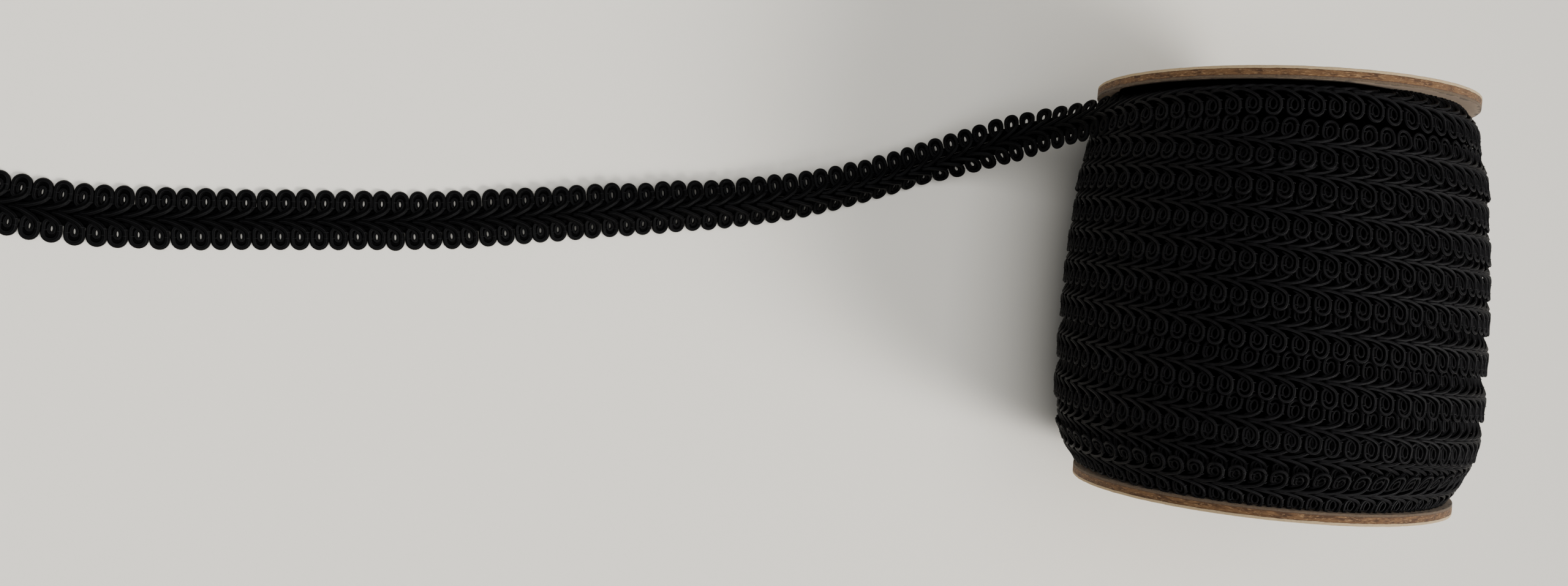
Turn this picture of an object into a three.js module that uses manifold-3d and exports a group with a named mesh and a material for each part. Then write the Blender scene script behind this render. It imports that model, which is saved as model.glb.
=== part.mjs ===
// A reel of gimp galloon lying on its side, with the loose end of the braid along the table.
// Millimetres, +Z up. The origin is on the table, under the middle of the reel, where it rests.
// +Y runs along the reel's axis, and the loose end leaves the reel toward -X.
import * as THREE from "three";
import * as BufferGeometryUtils from "three/addons/utils/BufferGeometryUtils.js";
import Module from "manifold-3d";

const wasm = await Module();
wasm.setup();

// The braid: two rows of loops on either side of a plaited middle.
const BRAID_WIDTH = 12;
const WOUND_WIDTH = 9.6;
const BRAID_THICKNESS = 1.6;
const LOOP_PITCH = 3.5;
const LOOP_DIP = 0.9;
const LOOP_TOP = 0.15;
const STATIONS_PER_LOOP = 4;

// The reel: two board discs with the wound braid between them.
const FLANGE_RADIUS = 36.5;
const FLANGE_THICKNESS = 2.3;
const FLANGE_BEVEL = 0.25;
const FLANGE_SIDES = 60;
const FLANGE_SHIFT = 0.45;
const REEL_LENGTH = 76.4;
const GAP = 0.3;

// The discs sit a little off the winding's middle, and the +Y one isn't quite square.
const FLANGES = [
  { name: "flange_back", side: 1, turn: THREE.MathUtils.degToRad(-1.4) },
  { name: "flange_front", side: -1, turn: 0 },
];

// The wound form. It stands on a small flat spot, pressed there by its own weight.
const WINDING_RADIUS = 41.6;
const FLAT_SPOT_DEPTH = 0.5;
const AXIS_HEIGHT = WINDING_RADIUS - FLAT_SPOT_DEPTH;
const WINDING_SIDES = 54;
const LAP_STEP = 1.3;
const LAP_UNEVENNESS = 0.18;
const PRESSED_HALF_ANGLE = 35;

// Radius of the winding above the flanges' own radius, from the +Y flange's inner face on.
const CROWN = [
  { depth: 0, rise: -1.2 },
  { depth: 3, rise: -0.3 },
  { depth: 6, rise: 0.5 },
  { depth: 10, rise: 1.4 },
  { depth: 14.5, rise: 2.7 },
  { depth: 20, rise: 3.4 },
  { depth: 27, rise: 4.2 },
  { depth: 36, rise: 4.8 },
  { depth: 45, rise: WINDING_RADIUS - FLANGE_RADIUS },
  { depth: 62, rise: WINDING_RADIUS - FLANGE_RADIUS },
  { depth: 68, rise: 4.2 },
  { depth: 72, rise: 2.3 },
  { depth: 74.6, rise: 1 },
  { depth: 76.4, rise: 0.3 },
];

// Lower edge of each wrap, counted from the last one by the +Y flange, where the wraps
// pass LAP_ANGLE. The first and the last rows lie past the flanges and close the form.
const LAP_ANGLE = 52;
const LAPS = [
  { turn: -1, y: 50 },
  { turn: 0, y: 42 },
  { turn: 1, y: 32.2 },
  { turn: 2, y: 22.1 },
  { turn: 3, y: 16.3 },
  { turn: 4, y: 9.9 },
  { turn: 5, y: 3.3 },
  { turn: 6, y: -3.1 },
  { turn: 7, y: -10.3 },
  { turn: 8, y: -18.7 },
  { turn: 9, y: -27 },
  { turn: 10, y: -33 },
  { turn: 11, y: -39.5 },
  { turn: 12, y: -47 },
];

// A lap's surface rises from under the next wrap to its own lower edge.
const LAP_ROWS = [
  { along: 0.05, level: 0 },
  { along: 0.5, level: 0.55 },
  { along: 1, level: 1 },
];

// Centre line of the loose end, from its cut end to the reel. The braid is drawn narrower
// where the winding stretched it. Its two halves tilt by these degrees about the middle:
// a positive tilt raises the +Y side of that half.
const TAIL_ROUTE = [
  { x: -254, y: 4.2, z: 1.3, width: BRAID_WIDTH, upper: 0, lower: 0 },
  { x: -240.5, y: 2.8, z: 0.9, width: BRAID_WIDTH, upper: 0, lower: 0 },
  { x: -228.5, y: 1.6, z: 0.8, width: BRAID_WIDTH, upper: 0, lower: 0 },
  { x: -215, y: 1.7, z: 0.8, width: BRAID_WIDTH, upper: 0, lower: 0 },
  { x: -190.5, y: 3, z: 0.8, width: BRAID_WIDTH, upper: 0, lower: 0 },
  { x: -166, y: 4.5, z: 0.9, width: 11.9, upper: 0, lower: 1 },
  { x: -154, y: 5.8, z: 1.6, width: 11.8, upper: -2, lower: 8 },
  { x: -135, y: 8.3, z: 2.8, width: 11.6, upper: -6, lower: 20 },
  { x: -120.5, y: 10, z: 3.4, width: 11.4, upper: -10, lower: 27 },
  { x: -105, y: 12, z: 3.9, width: 11.2, upper: -12, lower: 33 },
  { x: -93.5, y: 13.8, z: 4.3, width: 11.1, upper: -5, lower: 39 },
  { x: -82.5, y: 16.4, z: 4.8, width: 11, upper: 2, lower: 47 },
  { x: -71, y: 20, z: 5, width: 10.8, upper: 4, lower: 50 },
  { x: -61, y: 23.9, z: 5.7, width: 10.6, upper: 4, lower: 50 },
  { x: -54.5, y: 26.6, z: 9.2, width: 10.4, upper: 3, lower: 44 },
  { x: -49.6, y: 28.9, z: 13.1, width: 10.2, upper: 0, lower: 31 },
  { x: -46.2, y: 30.3, z: 16.7, width: 10, upper: -10, lower: 12 },
  { x: -42.9, y: 31.6, z: 20.2, width: 9.8, upper: -24, lower: -6 },
  { x: -39.2, y: 32.8, z: 25.3, width: 9.7, upper: -30, lower: -12 },
  { x: -36.9, y: 33.8, z: 30.6, width: WOUND_WIDTH, upper: -32, lower: -14 },
];

const BLACK_YARN = { color: 0x151517, roughness: 0.62, metalness: 0 };
const BOARD = { color: 0x8a6647, roughness: 0.85, metalness: 0 };

function lerpTable(rows, key, value, at) {
  if (at <= rows[0][key]) {
    return rows[0][value];
  }
  for (let i = 1; i < rows.length; i += 1) {
    if (at <= rows[i][key]) {
      const share = (at - rows[i - 1][key]) / (rows[i][key] - rows[i - 1][key]);
      return THREE.MathUtils.lerp(rows[i - 1][value], rows[i][value], share);
    }
  }
  return rows[rows.length - 1][value];
}

function closedGeometry(positions, triangles) {
  const geometry = new THREE.BufferGeometry();
  geometry.setAttribute("position", new THREE.Float32BufferAttribute(positions, 3));
  geometry.setIndex(triangles);
  return geometry;
}

function toSolid(geometry) {
  const bare = geometry.clone();
  bare.deleteAttribute("normal");
  bare.deleteAttribute("uv");
  const merged = BufferGeometryUtils.mergeVertices(bare, 1e-4);
  const vertProperties = new Float32Array(merged.attributes.position.array);
  const triVerts = new Uint32Array(merged.index.array);
  return new wasm.Manifold(new wasm.Mesh({ numProp: 3, vertProperties, triVerts }));
}

function toGeometry(solid) {
  const mesh = solid.getMesh();
  return closedGeometry(Array.from(mesh.vertProperties), Array.from(mesh.triVerts));
}

function namedMesh(name, geometry, finish) {
  const mesh = new THREE.Mesh(geometry, new THREE.MeshStandardMaterial(finish));
  mesh.name = name;
  return mesh;
}

// One row of the winding's surface at one angle, on the wrap that it belongs to.
// Angles run from the -X side of the reel over its top.
function windingPoint(turn, level, angle, grown) {
  const degrees = THREE.MathUtils.radToDeg(angle);
  const y = lerpTable(LAPS, "turn", "y", turn + (degrees - LAP_ANGLE) / 360);
  const crown = FLANGE_RADIUS + lerpTable(CROWN, "depth", "rise", REEL_LENGTH / 2 - y);
  const fromBottom = Math.abs(degrees - 270);
  const free = Math.min(1, fromBottom / PRESSED_HALF_ANGLE);
  const underlay = turn < 0 ? BRAID_THICKNESS : 0;
  const wave = LAP_UNEVENNESS * Math.sin(3 * angle + turn);
  const radius = crown + grown - free * (LAP_STEP * (1 - level) + underlay - wave);
  return [-radius * Math.cos(angle), y, AXIS_HEIGHT + radius * Math.sin(angle)];
}

// The wraps follow one helix, so column SIDES is column 0 moved on by one turn's rows.
// The surface can be grown, to cut what lies against it.
function windingSolid(grown) {
  const rowsPerTurn = LAP_ROWS.length;
  const turns = LAPS.length - 2;
  const rows = turns * rowsPerTurn;
  const positions = [];
  const starts = [];
  for (let side = 0; side < WINDING_SIDES; side += 1) {
    starts.push(positions.length / 3);
    const last = side === 0 ? rows + rowsPerTurn : rows;
    for (let row = 0; row <= last; row += 1) {
      const lapRow = LAP_ROWS[row % rowsPerTurn];
      const turn = LAPS[0].turn + Math.floor(row / rowsPerTurn) + lapRow.along;
      const angle = (2 * Math.PI * side) / WINDING_SIDES;
      positions.push(...windingPoint(turn, lapRow.level, angle, grown));
    }
  }
  const column = (side, row) => (side === WINDING_SIDES ? row + rowsPerTurn : starts[side] + row);
  const triangles = [];
  for (let side = 0; side < WINDING_SIDES; side += 1) {
    for (let row = 0; row < rows; row += 1) {
      const a = column(side, row);
      const b = column(side + 1, row);
      const c = column(side + 1, row + 1);
      const d = column(side, row + 1);
      triangles.push(a, d, b, b, d, c);
    }
  }
  for (const end of ["top", "bottom"]) {
    const centre = positions.length / 3;
    const edge = [];
    const row = end === "top" ? 0 : rows;
    for (let side = 0; side <= WINDING_SIDES; side += 1) {
      edge.push(column(side, row));
    }
    for (let step = rowsPerTurn - 1; step >= 1; step -= 1) {
      edge.push(row + step);
    }
    const outside = end === "top" ? LAPS[0].y + WOUND_WIDTH : LAPS[LAPS.length - 1].y - WOUND_WIDTH;
    positions.push(0, outside, AXIS_HEIGHT);
    for (let i = 0; i < edge.length; i += 1) {
      const here = edge[i];
      const next = edge[(i + 1) % edge.length];
      if (end === "top") {
        triangles.push(centre, here, next);
      } else {
        triangles.push(centre, next, here);
      }
    }
  }
  let wound = toSolid(closedGeometry(positions, triangles));
  for (const flange of FLANGES) {
    wound = wound.intersect(toSolid(blockInside(flange)));
  }
  return wound;
}

// A block that stands on the table and ends just short of one flange's inner face.
function blockInside({ side, turn }) {
  const span = 4 * WINDING_RADIUS;
  const block = new THREE.BoxGeometry(span, span, span);
  block.translate(0, -side * (span / 2 + GAP), span / 2);
  block.rotateZ(turn);
  block.translate(FLANGE_SHIFT, (side * REEL_LENGTH) / 2, 0);
  return block;
}

function flangeGeometry() {
  const half = FLANGE_THICKNESS / 2;
  const profile = [
    new THREE.Vector2(0, -half),
    new THREE.Vector2(FLANGE_RADIUS - FLANGE_BEVEL, -half),
    new THREE.Vector2(FLANGE_RADIUS, -half + FLANGE_BEVEL),
    new THREE.Vector2(FLANGE_RADIUS, half - FLANGE_BEVEL),
    new THREE.Vector2(FLANGE_RADIUS - FLANGE_BEVEL, half),
    new THREE.Vector2(0, half),
  ];
  return new THREE.LatheGeometry(profile, FLANGE_SIDES);
}

// Half the braid's width, which dips between two loops.
function halfWidth(width, distance) {
  const betweenLoops = 1 - Math.abs(Math.cos((Math.PI * distance) / LOOP_PITCH));
  return width / 2 - LOOP_DIP * betweenLoops;
}

// Ten points around the braid: five along its back, then five along its face.
function braidSection(centre, along, shape, distance) {
  const across = new THREE.Vector3(0, 1, 0).addScaledVector(along, -along.y).normalize();
  const out = new THREE.Vector3().crossVectors(along, across).normalize();
  const tilted = (degrees) => {
    const angle = THREE.MathUtils.degToRad(degrees);
    const arm = across.clone().multiplyScalar(Math.cos(angle));
    arm.addScaledVector(out, Math.sin(angle));
    const normal = new THREE.Vector3().crossVectors(along, arm).normalize();
    return { arm, normal };
  };
  const lower = tilted(shape.lower);
  const upper = tilted(shape.upper);
  const middle = lower.normal.clone().add(upper.normal).normalize();
  const half = BRAID_THICKNESS / 2;
  const edge = halfWidth(shape.width, distance);
  const shoulder = shape.width / 4;
  const columns = [
    { arm: lower.arm, normal: lower.normal, reach: -edge, face: LOOP_TOP },
    { arm: lower.arm, normal: lower.normal, reach: -shoulder, face: LOOP_TOP + 0.25 },
    { arm: lower.arm, normal: middle, reach: 0, face: half },
    { arm: upper.arm, normal: upper.normal, reach: shoulder, face: LOOP_TOP + 0.25 },
    { arm: upper.arm, normal: upper.normal, reach: edge, face: LOOP_TOP },
  ];
  const place = ({ arm, normal, reach }, height) =>
    centre.clone().addScaledVector(arm, reach).addScaledVector(normal, height);
  const back = columns.map((column) => place(column, -half));
  const face = columns.map((column) => place(column, column.face)).reverse();
  return [...back, ...face];
}

function tailGeometry() {
  const points = TAIL_ROUTE.map((stop) => new THREE.Vector3(stop.x, stop.y, stop.z));
  const curve = new THREE.CatmullRomCurve3(points, false, "centripetal");
  curve.arcLengthDivisions = 4000;
  const length = curve.getLength();
  const steps = Math.floor((length / LOOP_PITCH) * STATIONS_PER_LOOP);
  const stops = TAIL_ROUTE.map((stop, index) => ({ ...stop, index }));
  const positions = [];
  let ring = 0;
  for (let step = 0; step <= steps; step += 1) {
    const u = step / steps;
    const index = curve.getUtoTmapping(u) * (TAIL_ROUTE.length - 1);
    const shape = {
      width: lerpTable(stops, "index", "width", index),
      upper: lerpTable(stops, "index", "upper", index),
      lower: lerpTable(stops, "index", "lower", index),
    };
    const section = braidSection(curve.getPointAt(u), curve.getTangentAt(u), shape, u * length);
    ring = section.length;
    for (const point of section) {
      positions.push(point.x, point.y, Math.max(point.z, 0));
    }
  }
  const triangles = [];
  for (let step = 0; step < steps; step += 1) {
    for (let i = 0; i < ring; i += 1) {
      const a = step * ring + i;
      const b = step * ring + ((i + 1) % ring);
      triangles.push(a, b + ring, a + ring, a, b, b + ring);
    }
  }
  for (let i = 0; i < ring / 2 - 1; i += 1) {
    const start = [i, i + 1, ring - 2 - i, ring - 1 - i];
    const end = start.map((corner) => corner + steps * ring);
    triangles.push(start[0], start[2], start[1], start[0], start[3], start[2]);
    triangles.push(end[0], end[1], end[2], end[0], end[2], end[3]);
  }
  const braid = toSolid(closedGeometry(positions, triangles));
  return toGeometry(braid.subtract(windingSolid(GAP)));
}

function buildReel() {
  const group = new THREE.Group();
  group.add(namedMesh("winding", toGeometry(windingSolid(0)), BLACK_YARN));
  const reach = (REEL_LENGTH + FLANGE_THICKNESS) / 2;
  for (const { name, side, turn } of FLANGES) {
    const flange = namedMesh(name, flangeGeometry(), BOARD);
    flange.position.set(FLANGE_SHIFT, side * reach, AXIS_HEIGHT);
    flange.rotation.z = turn;
    group.add(flange);
  }
  return group;
}

const group = new THREE.Group();
group.add(buildReel());
group.add(namedMesh("tail", tailGeometry(), BLACK_YARN));

export default group;
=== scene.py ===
"""Dresses a reel of black gimp galloon that lies on its side, its loose end along the table.

The braid is laid cord by cord on one long ribbon. The ribbon starts at the cut end, runs
along the table, climbs to the reel and goes round it in one helix under its own laps.
Sizes are millimetres and angles are degrees until a mesh is written.
"""

import logging
import math
from dataclasses import dataclass, field
from enum import Enum

import bmesh
import bpy
import numpy as np
from mathutils import Matrix, Vector


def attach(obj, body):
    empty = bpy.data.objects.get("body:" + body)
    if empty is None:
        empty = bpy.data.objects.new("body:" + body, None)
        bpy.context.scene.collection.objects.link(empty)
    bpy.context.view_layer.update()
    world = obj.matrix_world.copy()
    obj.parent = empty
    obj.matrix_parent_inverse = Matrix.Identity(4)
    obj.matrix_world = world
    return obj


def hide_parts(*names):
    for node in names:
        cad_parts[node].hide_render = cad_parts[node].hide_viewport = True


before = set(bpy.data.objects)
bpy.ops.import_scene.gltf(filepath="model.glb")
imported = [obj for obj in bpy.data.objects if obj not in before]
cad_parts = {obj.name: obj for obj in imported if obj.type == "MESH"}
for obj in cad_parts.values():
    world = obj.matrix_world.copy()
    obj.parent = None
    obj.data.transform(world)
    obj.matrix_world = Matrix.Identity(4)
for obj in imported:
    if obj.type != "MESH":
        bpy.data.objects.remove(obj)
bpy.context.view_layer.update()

LOG = logging.getLogger("galloon")
MM = 0.001

Point = tuple[float, float, float]
Colour = tuple[float, float, float]
Course = tuple[Point, ...]

# The braid. Points lower than PRESS_REACH are eased up, so that none is below the table.
RELAXED_WIDTH = 12.0
WOUND_WIDTH = 9.6
BRAID_HALF_THICKNESS = 0.8
BRAID_HEIGHT = 1.5
PRESS_REACH = 0.45

# The reel.
FLANGE_RADIUS = 36.5
FLANGE_THICKNESS = 2.3
FLANGE_SHIFT = 0.45
WINDING_LENGTH = 76.4
WINDING_RADIUS = 41.6
AXIS_HEIGHT = 41.1
LAP_ANGLE = 52.0


@dataclass(frozen=True)
class Stop:
    """A stop on the loose end's centre line, half way through the braid's thickness.

    The braid's two halves tilt about its middle: a positive tilt raises a half's +Y side.
    """

    x: float
    y: float
    z: float
    width: float
    upper: float
    lower: float


@dataclass(frozen=True)
class Lap:
    """The middle of the braid where it passes LAP_ANGLE, counted in turns from the last wrap.

    sink is how far it lies under the winding's outline, and the tilts add to the
    outline's own slope.
    """

    turn: float
    y: float
    sink: float = 0.5
    upper: float = -14.0
    lower: float = -7.0


@dataclass(frozen=True)
class Crown:
    """The winding's radius above the flanges', at a depth from the +Y flange."""

    depth: float
    rise: float


LOOSE_END = (
    Stop(-254.0, 4.2, 1.3, 12.0, 0, 0),
    Stop(-240.5, 2.8, 0.9, 12.0, 0, 0),
    Stop(-228.5, 1.6, 0.8, 12.0, 0, 0),
    Stop(-215.0, 1.7, 0.8, 12.0, 0, 0),
    Stop(-190.5, 3.0, 0.8, 12.0, 0, 0),
    Stop(-166.0, 4.5, 0.9, 11.9, 0, 1),
    Stop(-154.0, 5.8, 1.6, 11.8, -2, 8),
    Stop(-135.0, 8.3, 2.8, 11.6, -6, 20),
    Stop(-120.5, 10.0, 3.4, 11.4, -10, 27),
    Stop(-105.0, 12.0, 3.9, 11.2, -12, 33),
    Stop(-93.5, 13.8, 4.3, 11.1, -5, 39),
    Stop(-82.5, 16.4, 4.8, 11.0, 2, 47),
    Stop(-71.0, 20.0, 5.0, 10.8, 4, 50),
    Stop(-61.0, 23.9, 5.7, 10.6, 4, 50),
    Stop(-54.5, 26.6, 9.2, 10.4, 3, 44),
    Stop(-49.6, 28.9, 13.1, 10.2, 0, 31),
    Stop(-46.2, 30.3, 16.7, 10.0, -10, 12),
    Stop(-42.9, 31.6, 20.2, 9.8, -24, -6),
    Stop(-39.2, 32.8, 25.3, 9.7, -30, -12),
    Stop(-36.9, 33.8, 30.6, 9.6, -32, -14),
    Stop(-36.2, 34.6, 36.5, 9.6, -34, -15),
)

LAPS = (
    Lap(0.88, 35.2, -0.7, -40, -4),
    Lap(0.92, 35.8, -0.9, -54, 0),
    Lap(0.985, 36.4, -1.0, -74, 2),
    Lap(1.055, 36.1, -1.0, -70, 2),
    Lap(1.11, 34.9, -0.6, -28, -3),
    Lap(1.25, 32.9, 0.0, -8, -3),
    Lap(2.0, 27.0, 0.0, 3, -7),
    Lap(3.0, 21.35),
    Lap(4.0, 14.75),
    Lap(5.0, 8.35),
    Lap(6.0, 1.75),
    Lap(7.0, -5.65),
    Lap(8.0, -14.2, 0.3, -10, -7),
    Lap(9.0, -22.65, 0.3, -10, -7),
    Lap(10.0, -28.3, 0.9, -6, 6),
    Lap(11.0, -34.3, 0.1, 14, 4),
    Lap(12.0, -35.0, 2.5, 0, 0),
)

# Where the helix ends, under the reel.
LAST_TURN = 11.6

# The wraps between the outermost ones lie in planes turned out of square.
WRAP_TILT = 1.2
WRAP_TILT_ANGLE = 60.0
WRAP_TILT_TURNS = (1.15, 1.6, 9.2, 9.9)

CROWNS = (
    Crown(0.0, -1.2),
    Crown(3.0, -0.3),
    Crown(6.0, 0.5),
    Crown(10.0, 1.4),
    Crown(14.5, 2.7),
    Crown(20.0, 3.4),
    Crown(27.0, 4.2),
    Crown(36.0, 4.8),
    Crown(45.0, WINDING_RADIUS - FLANGE_RADIUS),
    Crown(62.0, WINDING_RADIUS - FLANGE_RADIUS),
    Crown(68.0, 4.2),
    Crown(72.0, 2.3),
    Crown(74.6, 1.0),
    Crown(76.4, 0.3),
)


def crown_radius(y: np.ndarray) -> np.ndarray:
    """Gives the winding's outer radius.

    Args:
        y: Places along the reel's axis.

    Returns:
        The radius at each place.
    """
    depth = WINDING_LENGTH / 2 - np.asarray(y)
    table = np.array([(c.depth, c.rise) for c in CROWNS])
    return FLANGE_RADIUS + np.interp(depth, table[:, 0], table[:, 1])


def smooth_through(points: np.ndarray, spacing: float) -> tuple[np.ndarray, np.ndarray]:
    """Runs a centripetal Catmull-Rom curve through points.

    Args:
        points: The points, one in each row.
        spacing: About how far apart the samples lie.

    Returns:
        The samples, and each sample's place counted in points.
    """
    ends = np.vstack([2 * points[0] - points[1], points, 2 * points[-1] - points[-2]])
    samples, places = [], []
    for i in range(len(points) - 1):
        p = ends[i:i + 4]
        knots = np.concatenate([[0.0], np.cumsum(np.linalg.norm(np.diff(p, axis=0), axis=1) ** 0.5)])
        count = max(2, int(math.ceil(np.linalg.norm(p[2] - p[1]) / spacing)))
        share = np.arange(count) / count
        t = (knots[1] + share * (knots[2] - knots[1]))[:, None]

        def mixed(a: np.ndarray, b: np.ndarray, start: int, end: int) -> np.ndarray:
            """Mixes two rows between two knots."""
            return (a * (knots[end] - t) + b * (t - knots[start])) / (knots[end] - knots[start])

        first = mixed(p[0], p[1], 0, 1)
        second = mixed(p[1], p[2], 1, 2)
        third = mixed(p[2], p[3], 2, 3)
        samples.append(mixed(mixed(first, second, 0, 2), mixed(second, third, 1, 3), 1, 2))
        places.append(i + share)
    samples.append(points[-1:])
    places.append(np.array([len(points) - 1.0]))
    return np.vstack(samples), np.concatenate(places)


def unit(vectors: np.ndarray) -> np.ndarray:
    """Scales vectors to length one."""
    return vectors / np.linalg.norm(vectors, axis=-1, keepdims=True)


def turned_out(along: np.ndarray) -> tuple[np.ndarray, np.ndarray]:
    """Finds the directions across the ribbon and out of its face.

    Args:
        along: The ribbon's direction at each sample.

    Returns:
        The unit vectors across it, toward +Y, and out of its face.
    """
    across = unit(np.array([0.0, 1.0, 0.0]) - along * along[..., 1:2])
    return across, np.cross(along, across)


class Ribbon:
    """The braid's underside as a long strip, with its width and tilts along the way."""

    SPACING = 0.4
    HELIX_STEP = 4.0

    def __init__(self) -> None:
        """Lays the loose end and the helix as one strip."""
        stops = np.array([(s.x, s.y, s.z, s.width, s.upper, s.lower) for s in LOOSE_END])
        centres = stops[:, :3]
        slopes = unit(np.gradient(centres, axis=0))
        stops[:, :3] = centres - BRAID_HALF_THICKNESS * turned_out(slopes)[1]
        wound = self.wound_stops()
        controls = np.vstack([stops, wound])
        points, places = smooth_through(controls[:, :3], self.SPACING)
        index = np.arange(len(controls))
        self.points = points
        self.along = unit(np.gradient(points, axis=0))
        self.distance = np.concatenate(
            [[0.0], np.cumsum(np.linalg.norm(np.diff(points, axis=0), axis=1))]
        )
        self.width = np.interp(places, index, controls[:, 3])
        self.upper = np.interp(places, index, controls[:, 4])
        self.lower = np.interp(places, index, controls[:, 5])
        self.joint = float(np.interp(len(stops) - 1, places, self.distance))
        self.length = float(self.distance[-1])

    def wound_stops(self) -> np.ndarray:
        """Works out the helix from the laps.

        Returns:
            Rows of x, y, z, width and the two tilts.
        """
        laps = np.array([(lap.turn, lap.y, lap.sink, lap.upper, lap.lower) for lap in LAPS])
        turns = np.arange(laps[0, 0], LAST_TURN, self.HELIX_STEP / 360)
        y, sink, upper, lower = (np.interp(turns, laps[:, 0], laps[:, i]) for i in range(1, 5))
        angle = np.radians((turns - 1) * 360 + LAP_ANGLE)
        share = np.interp(turns, WRAP_TILT_TURNS, (0, 1, 1, 0))
        y = y - share * WRAP_TILT * np.sin(angle - math.radians(WRAP_TILT_ANGLE))
        radius = crown_radius(y) - BRAID_HEIGHT - sink
        reach = WOUND_WIDTH / 2
        slope = np.degrees(np.arctan2(crown_radius(y + reach) - crown_radius(y - reach), 2 * reach))
        return np.column_stack([
            -radius * np.cos(angle),
            y,
            AXIS_HEIGHT + radius * np.sin(angle),
            np.full_like(y, WOUND_WIDTH),
            slope + upper,
            slope + lower,
        ])

    def tension(self, distance: np.ndarray) -> np.ndarray:
        """Says how far the braid is drawn out, from 0 on the table to 1 on the reel."""
        width = np.interp(distance, self.distance, self.width)
        return np.clip((RELAXED_WIDTH - width) / (RELAXED_WIDTH - WOUND_WIDTH), 0, 1)

    def place(self, s: np.ndarray, w: np.ndarray, h: np.ndarray) -> tuple[np.ndarray, np.ndarray]:
        """Puts points of the flat braid on the ribbon.

        Args:
            s: Distances along the braid.
            w: Distances from its middle, positive toward +Y.
            h: Heights above its underside.

        Returns:
            The points, and the directions out of the braid's face there.
        """
        def at(values: np.ndarray) -> np.ndarray:
            """Reads one row of values along the ribbon."""
            return np.interp(s, self.distance, values)

        centre = np.stack([at(self.points[:, i]) for i in range(3)], axis=-1)
        along = unit(np.stack([at(self.along[:, i]) for i in range(3)], axis=-1))
        across, out = turned_out(along)
        upper, lower = np.radians(at(self.upper)), np.radians(at(self.lower))
        # The two halves meet in a curve over the middle 2 mm of the braid.
        side = np.clip(w, -1, 1)
        beyond = w - side
        blend = (side + 1) / 2

        def folded(low: np.ndarray, high: np.ndarray) -> tuple[np.ndarray, np.ndarray]:
            """Follows one component across the fold.

            Args:
                low: Its slope on the lower half.
                high: Its slope on the upper half.

            Returns:
                The component, and its slope.
            """
            near = low * side + (high - low) * (side + side ** 2 / 2) / 2
            slope = low + (high - low) * blend
            return near + beyond * slope, slope

        flat, flat_slope = folded(np.cos(lower), np.cos(upper))
        rise, rise_slope = folded(np.sin(lower), np.sin(upper))
        normal = unit(out * flat_slope[..., None] - across * rise_slope[..., None])
        points = centre + across * flat[..., None] + out * rise[..., None] + normal * h[..., None]
        return points, normal


class Side(Enum):
    """The two rows of loops."""

    UPPER = 1.0
    LOWER = -1.0


@dataclass(frozen=True)
class LoopCord:
    """One cord's course in one loop of the braid, relaxed and drawn out.

    A point of a course is (along the braid, from its middle, height).
    """

    relaxed: Course
    drawn: Course
    relaxed_radius: float
    drawn_radius: float
    sides: int
    spacing: float

    def course(self, points: Course) -> np.ndarray:
        """Rounds one course at equal shares of its points.

        Args:
            points: The course.

        Returns:
            The rounded course, one point in each row.
        """
        smooth, places = smooth_through(np.array(points), self.spacing / 4)
        count = int(round(np.linalg.norm(np.diff(smooth, axis=0), axis=1).sum() / self.spacing))
        wanted = np.linspace(0, len(points) - 1, count)
        return np.stack([np.interp(wanted, places, smooth[:, i]) for i in range(3)], axis=-1)

    def courses(self) -> tuple[np.ndarray, np.ndarray]:
        """Rounds both courses with the same number of points.

        Returns:
            The relaxed course and the drawn one.
        """
        relaxed = self.course(self.relaxed)
        drawn = self.course(self.drawn)
        share = np.linspace(0, 1, len(relaxed))
        place = np.linspace(0, 1, len(drawn))
        drawn = np.stack([np.interp(share, place, drawn[:, i]) for i in range(3)], axis=-1)
        return relaxed, drawn


OUTER_RELAXED = (
    (-0.35, 1.75, 0.30), (-1.00, 1.80, 0.42), (-1.27, 2.30, 0.48), (-1.29, 3.00, 0.50),
    (-1.29, 3.95, 0.50), (-1.10, 4.75, 0.50), (-0.60, 5.22, 0.50), (0.00, 5.38, 0.50),
    (0.60, 5.22, 0.50), (1.10, 4.75, 0.50), (1.29, 4.00, 0.52), (1.29, 3.10, 0.60),
    (1.20, 2.45, 0.78), (0.80, 1.85, 0.98), (0.20, 1.40, 1.10), (-0.60, 1.00, 1.16),
    (-1.50, 0.64, 1.14), (-2.40, 0.36, 1.02), (-3.20, 0.24, 0.84), (-3.85, 0.32, 0.62),
)
OUTER_DRAWN = (
    (-0.30, 1.45, 0.25), (-0.95, 1.50, 0.38), (-1.20, 1.95, 0.46), (-1.22, 2.70, 0.50),
    (-1.20, 3.40, 0.50), (-0.98, 4.00, 0.50), (-0.50, 4.38, 0.50), (0.00, 4.48, 0.50),
    (0.50, 4.38, 0.50), (0.98, 4.00, 0.52), (1.20, 3.40, 0.56), (1.20, 2.60, 0.68),
    (1.10, 1.95, 0.84), (0.75, 1.40, 0.98), (0.15, 1.00, 1.06), (-0.75, 0.62, 1.10),
    (-1.70, 0.36, 1.10), (-2.70, 0.20, 1.00), (-3.60, 0.18, 0.85), (-4.20, 0.26, 0.65),
)
INNER_RELAXED = (
    (0.15, 2.10, 0.28), (-0.28, 2.40, 0.40), (-0.50, 2.80, 0.48), (-0.53, 3.30, 0.50),
    (-0.42, 3.88, 0.48), (0.00, 4.16, 0.46), (0.42, 3.88, 0.46), (0.53, 3.30, 0.48),
    (0.48, 2.80, 0.52), (0.22, 2.32, 0.54), (-0.30, 1.88, 0.52), (-0.90, 1.50, 0.46),
    (-1.50, 1.15, 0.40),
)
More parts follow.
